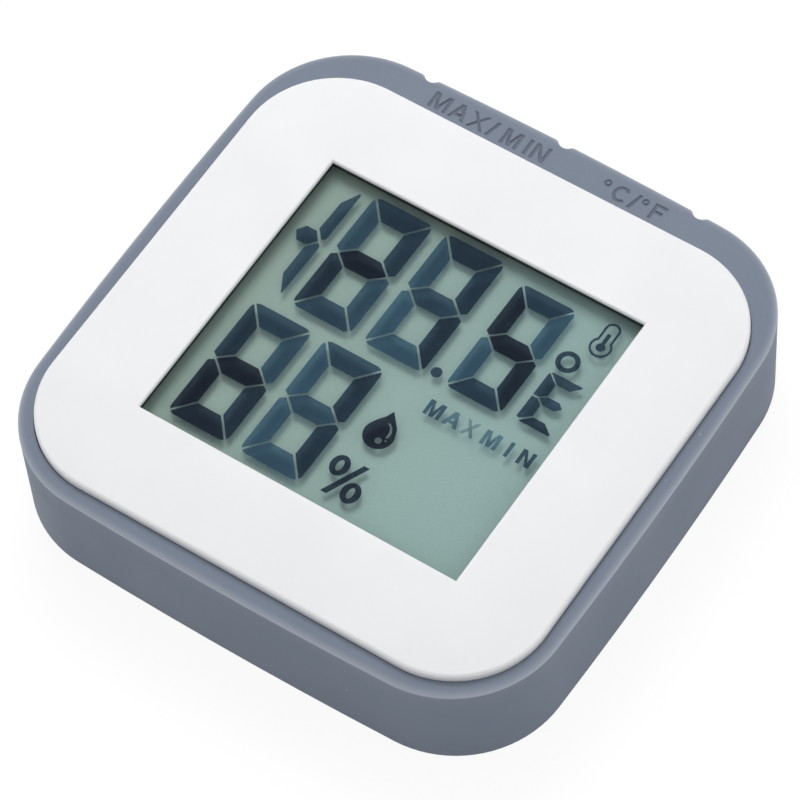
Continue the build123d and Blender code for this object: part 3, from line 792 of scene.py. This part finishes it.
class SENSOR_OT_symbols(bpy.types.Operator):
    """Build the display's small signs: point, degree, unit, thermometer, drop, percent and words"""
    bl_idname = "sensor.symbols"
    bl_label = "Symbols"

    # The unit sign's segments, from its top to its foot
    unit = (
        [(13.15, 7.92), (16.55, 7.92), (16.62, 7.8), (15.7, 6.9), (14.3, 6.9), (13.15, 7.8)],
        [(12.9, 7.65), (13.05, 7.7), (14.2, 6.75), (14.18, 5.4), (13.55, 4.9), (12.85, 4.85)],
        [(13.6, 4.8), (14.3, 5.3), (15.6, 5.3), (16.15, 4.8), (15.6, 4.25), (14.3, 4.25)],
        [(12.85, 4.68), (13.5, 4.65), (14.15, 4.1), (14.15, 2.75), (13.1, 1.9), (12.8, 2.0)],
        [(13.2, 1.65), (14.3, 2.65), (15.6, 2.65), (16.7, 1.8), (16.65, 1.62)],
    )
    # How pale each of the unit sign's segments is painted, as painted shade and reflection
    unit_tones = (0.4, 0.3, 0.5, 0.35, 0.2)
    # Each letter with its left and right edge in millimetres, and how pale it is: up to one a painted shade
    # and reflection, above one faded out
    words = (
        ("M", 4.93, 6.7, 0.7), ("A", 7.05, 8.75, 1.35), ("X", 9.1, 10.6, 1.7),
        ("M", 11.35, 13.1, 1.3), ("I", 14.07, 14.47, 0.8), ("N", 15.45, 16.9, 0.5),
    )
    words_low = -2.45
    words_high = -0.68
    words_stroke = 0.4

    def execute(self, context):
        settings = context.scene.sensor_display
        # Each mark's last number is how pale it is painted, as painted shade and reflection
        draw_marks("decimal_point", settings, [([oval(3.65, 2.05, 0.58)], 0.35)])
        ring = [oval(13.78, 9.65, 1.24), oval(13.78, 9.65, 0.7)]
        draw_marks("degree_ring", settings, [(ring, 0.3)])
        unit = [([outline], tone) for outline, tone in zip(self.unit, self.unit_tones)]
        draw_marks("unit_sign", settings, unit)
        draw_marks("thermometer", settings, self.thermometer())
        draw_marks("drop", settings, [(self.drop(), 0.0)])
        draw_marks("percent", settings, self.percent())
        words = [
            (placed_glyph(text, left, right, self.words_low, self.words_high, self.words_stroke), tone)
            for text, left, right, tone in self.words
        ]
        draw_marks("max_min_words", settings, words)
        return {"FINISHED"}

    def thermometer(self):
        x, bulb_y, bulb, tube, top, stroke = 15.55, 12.7, 1.17, 0.83, 15.75, 0.25

        def outline(inset):
            radius, half = bulb - inset, tube - inset
            meet = math.degrees(math.acos(half / radius))
            return arc(x, top - tube, half, 0, 180, 16) + arc(x, bulb_y, radius, 180 - meet, 360 + meet, 32)

        mercury = arc(x, bulb_y, 0.48, 115, 425, 24) + [(x + 0.2, 14.4), (x - 0.2, 14.4)]
        return [([outline(0), outline(stroke)], 0.35), ([mercury], 0.3)]

    def drop(self):
        """The drop with its crescent, blob and dot of light left open."""
        body = arc(2.8, -6.72, 1.6, -210, 25, 30)
        body += [(3.95, -5.3), (3.3, -4.55), (2.65, -3.8), (2.3, -4.6), (1.7, -5.4)]
        crescent = arc(2.45, -6.3, 1.35, -18, 62, 12) + arc(2.25, -6.3, 1.28, 62, -18, 12)
        return [body, crescent, oval(3.1, -7.3, 0.36, steps=20), oval(3.75, -6.98, 0.12, steps=10)]

    def percent(self):
        slash = [(1.42, -14.75), (2.1, -14.75), (4.2, -10.35), (3.55, -10.35)]
        rings = [[oval(x, y, 0.98, 1.22), oval(x, y, 0.33, 1.97)] for x, y in ((1.53, -11.5), (4.1, -13.55))]
        return [(ring, 0.1) for ring in rings] + [([slash], 0.1)]


class SENSOR_OT_back(bpy.types.Operator):
    """Finish the rear shell with its lock marks, the battery door and the stand"""
    bl_idname = "sensor.back"
    bl_label = "Back"

    def execute(self, context):
        settings = context.scene.sensor_back
        spark = moulded("spark_white", settings.colour, 0.55, 0.14 * MM, 0.012 * MM, drift=0.01)
        fine = moulded("fine_white", settings.colour, 0.45, 0.3 * MM, 0.003 * MM, drift=0.01)
        shell = joined_copy("rear_shell", "rear_shell_finished")
        cut_away(shell, self.lock_marks(settings))
        dress(shell, spark)
        take_over(shell, "rear_shell", "case")
        for name in ("battery_door", "stand"):
            piece = joined_copy(name, name + "_finished")
            dress(piece, fine)
            take_over(piece, name, name)
        return {"FINISHED"}

    def lock_marks(self, settings):
        """The closed and open padlocks beside the battery door, as one cutter."""
        low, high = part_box("battery_door")
        centre_y = (low.y + high.y) / 2 / MM
        radius = (high.y - low.y) / 2 / MM + 2.0
        work = bmesh.new()
        for angle, raised in ((90, 0.0), (55, 0.45)):
            turned = math.radians(angle)
            x, y = radius * math.cos(turned), centre_y + radius * math.sin(turned)
            body = [(x - 0.75, y - 0.6), (x + 0.75, y - 0.6), (x + 0.75, y + 0.4), (x - 0.75, y + 0.4)]
            top = y + 0.62 + raised
            shackle = arc(x, top, 0.52, 0, 180, 12) + arc(x, top, 0.28, 180, 0, 12)
            for outline in (body, shackle):
                prism(work, [outline], -settings.mark_depth, settings.mark_depth)
        return link_work("lock_marks", work)


def screw_shape(head, head_thick, shank, length, pitch):
    """A screw, head down at zero, with a domed head, a cross recess and a thread, in millimetres."""
    crown = head_thick * 0.35
    angles = [math.radians(degrees) for degrees in (20, 40, 60, 80)]
    dome = [(head * math.sin(angle), crown * (1 - math.cos(angle))) for angle in angles]
    profile = [(0, 0)] + dome + [(head, crown), (head, head_thick), (shank, head_thick)]
    z = head_thick + pitch / 2
    while z < head_thick + length - pitch:
        profile += [(shank * 0.78, z), (shank, z + pitch / 2)]
        z += pitch
    profile += [(shank * 0.5, head_thick + length - pitch / 4), (0, head_thick + length)]
    work = bmesh.new()
    line = [work.verts.new((r * MM, 0, z * MM)) for r, z in profile]
    edges = [work.edges.new(pair) for pair in zip(line, line[1:])]
    bmesh.ops.spin(work, geom=line + edges, cent=(0, 0, 0), axis=(0, 0, 1), angle=math.tau, steps=32)
    bmesh.ops.remove_doubles(work, verts=work.verts, dist=0.0005 * MM)
    screw = link_work("screw_shape", work)
    wing, half, deep = head * 0.55, head * 0.12, head_thick * 0.6
    across = [(-wing, -half), (wing, -half), (wing, half), (-wing, half)]
    cross = bmesh.new()
    for swap in (False, True):
        mouth = [(y, x) if swap else (x, y) for x, y in across]
        floor = [(x * 0.6, y * 0.4) if swap else (x * 0.4, y * 0.6) for x, y in mouth]
        loft(cross, [mouth], -0.3 * MM, [floor], deep * MM)
    cut_away(screw, link_work("cross", cross))
    smooth_by_angle(screw, 35)
    return screw


class SENSOR_OT_screws(bpy.types.Operator):
    """Put the screws of the housing and of the circuit board in their holes"""
    bl_idname = "sensor.screws"
    bl_label = "Screws"

    # Radius of the head, its thickness, radius of the shank, and pitch of the thread, in millimetres
    kinds = {"housing_screws": (1.8, 1.3, 1.0, 0.7), "board_screws": (1.4, 0.7, 0.75, 0.5)}

    def execute(self, context):
        seed = context.scene.sensor_back.screw_seed
        steel = brushed_metal("zinc_steel", (0.5, 0.5, 0.52, 1), 0.34)
        tree = placing_tree("screws_on_points", "Screw", "Screws", True)
        for node_name, (head, head_thick, shank, pitch) in self.kinds.items():
            low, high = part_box(node_name)
            reach = head * MM
            across, along = (low.x + reach, high.x - reach), (low.y + reach, high.y - reach)
            places = [(x, y, low.z) for x in across for y in along]
            points = bpy.data.meshes.new("screw_places")
            points.from_pydata(places, [], [])
            length = (high.z - low.z) / MM - head_thick
            shape = screw_shape(head, head_thick, shank, length, pitch)
            values = {"Screw": shape, "Material": steel, "Turn seed": seed}
            piece = run_tree(node_name + "_threaded", points, tree, values)
            bpy.data.objects.remove(shape)
            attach(piece, "case")
            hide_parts(node_name)
        return {"FINISHED"}


class SENSOR_OT_works(bpy.types.Operator):
    """Finish the parts inside: board, chips, switches, contacts and coin cell"""
    bl_idname = "sensor.works"
    bl_label = "Works"

    def execute(self, context):
        spring = brushed_metal("tinned_steel", (0.62, 0.62, 0.64, 1), 0.3, 1)
        black = moulded("switch_black", (0.02, 0.02, 0.022, 1), 0.5, 0.2 * MM, 0.005 * MM)
        ivory = moulded("stem_white", (0.7, 0.7, 0.67, 1), 0.45, 0.2 * MM, 0.004 * MM)
        dress("circuit_board", board_surface("solder_mask"))
        dress("display_driver", moulded("epoxy", (0.008, 0.008, 0.009, 1), 0.22, 1.2 * MM, 0.03 * MM))
        ceramic = moulded("chip_ceramic", (0.26, 0.15, 0.08, 1), 0.5, 0.2 * MM, 0.01 * MM, drift=0.1)
        dress("chip_components", ceramic)
        sensor_can = moulded("sensor_black", (0.012, 0.012, 0.013, 1), 0.45, 0.1 * MM, 0.004 * MM)
        dress("humidity_sensor", sensor_can)
        dress("coin_cell", brushed_metal("cell_nickel", (0.66, 0.66, 0.67, 1), 0.26))
        for name in ("positive_contact", "negative_contact"):
            dress(name, spring)
        for name in ("max_min", "unit"):
            dress(name + "_switch", black)
            dress(name + "_switch_cover", spring)
            dress(name + "_switch_stem", ivory)
        return {"FINISHED"}


def only_looked_at(tree, lit, pale):
    """The pale shader where the floor or sky is only looked at, and the lit one for all other light."""
    path = add_node(tree, "ShaderNodeLightPath").outputs
    seen = calculate(tree, "MAXIMUM", path["Is Camera Ray"], path["Is Transmission Ray"])
    shown = calculate(tree, "MAXIMUM", seen, path["Is Glossy Ray"])
    return add_node(tree, "ShaderNodeMixShader", {0: shown, 1: lit, 2: pale}).outputs[0]


class SENSOR_OT_stage(bpy.types.Operator):
    """Set up the floor, the sky, two soft lamps and the camera"""
    bl_idname = "sensor.stage"
    bl_label = "Stage"

    def execute(self, context):
        settings = context.scene.sensor_stage
        self.floor()
        self.sky(context, settings)
        aim = Vector(settings.aim) + Vector((0, 0, CASE_TOP))
        self.lamp("key", (-0.42, 0.55, 0.92), aim, 0.85, 0.5, settings.key)
        self.lamp("fill", (0.75, 0.45, 0.4), aim, 0.6, 0.4, settings.fill)
        self.camera(context, settings, aim)
        context.scene.view_settings.view_transform = "Standard"
        return {"FINISHED"}

    def floor(self):
        half = 3.0
        mesh = bpy.data.meshes.new("floor")
        corners = [(-half, -half, 0), (half, -half, 0), (half, half, 0), (-half, half, 0)]
        mesh.from_pydata(corners, [], [(0, 1, 2, 3)])
        floor = link_mesh("floor", mesh)
        floor.location.z = -0.02 * MM
        material, tree = new_material("pale_floor")
        lit = add_node(tree, "ShaderNodeBsdfDiffuse", {"Color": (0.72, 0.72, 0.72, 1)}).outputs[0]
        white = add_node(tree, "ShaderNodeEmission", {"Color": (1, 1, 1, 1), "Strength": 1.12}).outputs[0]
        shadowed = add_node(tree, "ShaderNodeMixShader", {0: 0.8, 1: lit, 2: white}).outputs[0]
        add_node(tree, "ShaderNodeOutputMaterial", {"Surface": only_looked_at(tree, lit, shadowed)})
        mesh.materials.append(material)

    def sky(self, context, settings):
        """Light from all round that is stronger near the horizon, as in a white tent."""
        world = bpy.data.worlds.new("studio")
        context.scene.world = world
        world.use_nodes = True
        tree = world.node_tree
        tree.nodes.clear()
        direction = add_node(tree, "ShaderNodeTexCoord").outputs["Generated"]
        height = add_node(tree, "ShaderNodeSeparateXYZ", {"Vector": direction}).outputs["Z"]
        strength = remap(tree, height, 0, 1, settings.horizon, settings.zenith)
        tent = add_node(tree, "ShaderNodeBackground", {"Color": (0.975, 0.985, 1, 1), "Strength": strength})
        white = add_node(tree, "ShaderNodeBackground", {"Color": (1, 1, 1, 1), "Strength": 1.0})
        surface = only_looked_at(tree, tent.outputs[0], white.outputs[0])
        add_node(tree, "ShaderNodeOutputWorld", {"Surface": surface})

    def lamp(self, name, direction, aim, distance, size, power):
        data = bpy.data.lights.new(name, "AREA")
        data.shape = "DISK"
        data.size = size
        data.energy = power
        lamp = bpy.data.objects.new(name, data)
        bpy.context.scene.collection.objects.link(lamp)
        towards = Vector(direction).normalized()
        lamp.location = aim + towards * distance
        lamp.rotation_mode = "QUATERNION"
        lamp.rotation_quaternion = (-towards).to_track_quat("-Z", "Y")

    def camera(self, context, settings, aim):
        data = bpy.data.cameras.new("photo_view")
        data.lens = settings.lens
        data.sensor_width = 36.0
        data.clip_start, data.clip_end = 0.01, 10.0
        camera = bpy.data.objects.new("photo_view", data)
        context.scene.collection.objects.link(camera)
        level = math.cos(settings.elevation)
        back = Vector((level * math.cos(settings.azimuth), level * math.sin(settings.azimuth),
                       math.sin(settings.elevation)))
        camera.location = aim + back * settings.distance
        camera.rotation_mode = "QUATERNION"
        turn = Matrix.Rotation(settings.roll, 3, "Z").to_quaternion()
        camera.rotation_quaternion = (-back).to_track_quat("-Z", "Y") @ turn
        context.scene.camera = camera


OPERATORS = (
    SENSOR_OT_front_plate, SENSOR_OT_band, SENSOR_OT_display_layers, SENSOR_OT_digits, SENSOR_OT_symbols,
    SENSOR_OT_back, SENSOR_OT_screws, SENSOR_OT_works, SENSOR_OT_stage,
)


class SENSOR_PT_sensor(bpy.types.Panel):
    """The sensor's operators and their settings"""
    bl_label = "Sensor"
    bl_idname = "SENSOR_PT_sensor"
    bl_space_type = "VIEW_3D"
    bl_region_type = "UI"
    bl_category = "Sensor"

    def draw(self, context):
        for operator in OPERATORS:
            self.layout.operator(operator.bl_idname)
        for name, group in SETTINGS.items():
            box = self.layout.box()
            box.label(text=name.replace("_", " ").capitalize())
            for setting in group.__annotations__:
                box.prop(getattr(context.scene, name), setting)


def register():
    for name, group in SETTINGS.items():
        bpy.utils.register_class(group)
        setattr(bpy.types.Scene, name, PointerProperty(type=group))
    for made in OPERATORS + (SENSOR_PT_sensor,):
        bpy.utils.register_class(made)


def unregister():
    for made in reversed(OPERATORS + (SENSOR_PT_sensor,)):
        bpy.utils.unregister_class(made)
    for name, group in reversed(SETTINGS.items()):
        delattr(bpy.types.Scene, name)
        bpy.utils.unregister_class(group)


def main():
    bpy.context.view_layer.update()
    register()
    bpy.ops.sensor.front_plate()
    bpy.ops.sensor.band()
    bpy.ops.sensor.display_layers()
    bpy.ops.sensor.digits()
    bpy.ops.sensor.symbols()
    bpy.ops.sensor.back()
    bpy.ops.sensor.screws()
    bpy.ops.sensor.works()
    bpy.ops.sensor.stage()


if __name__ == "__main__":
    main()
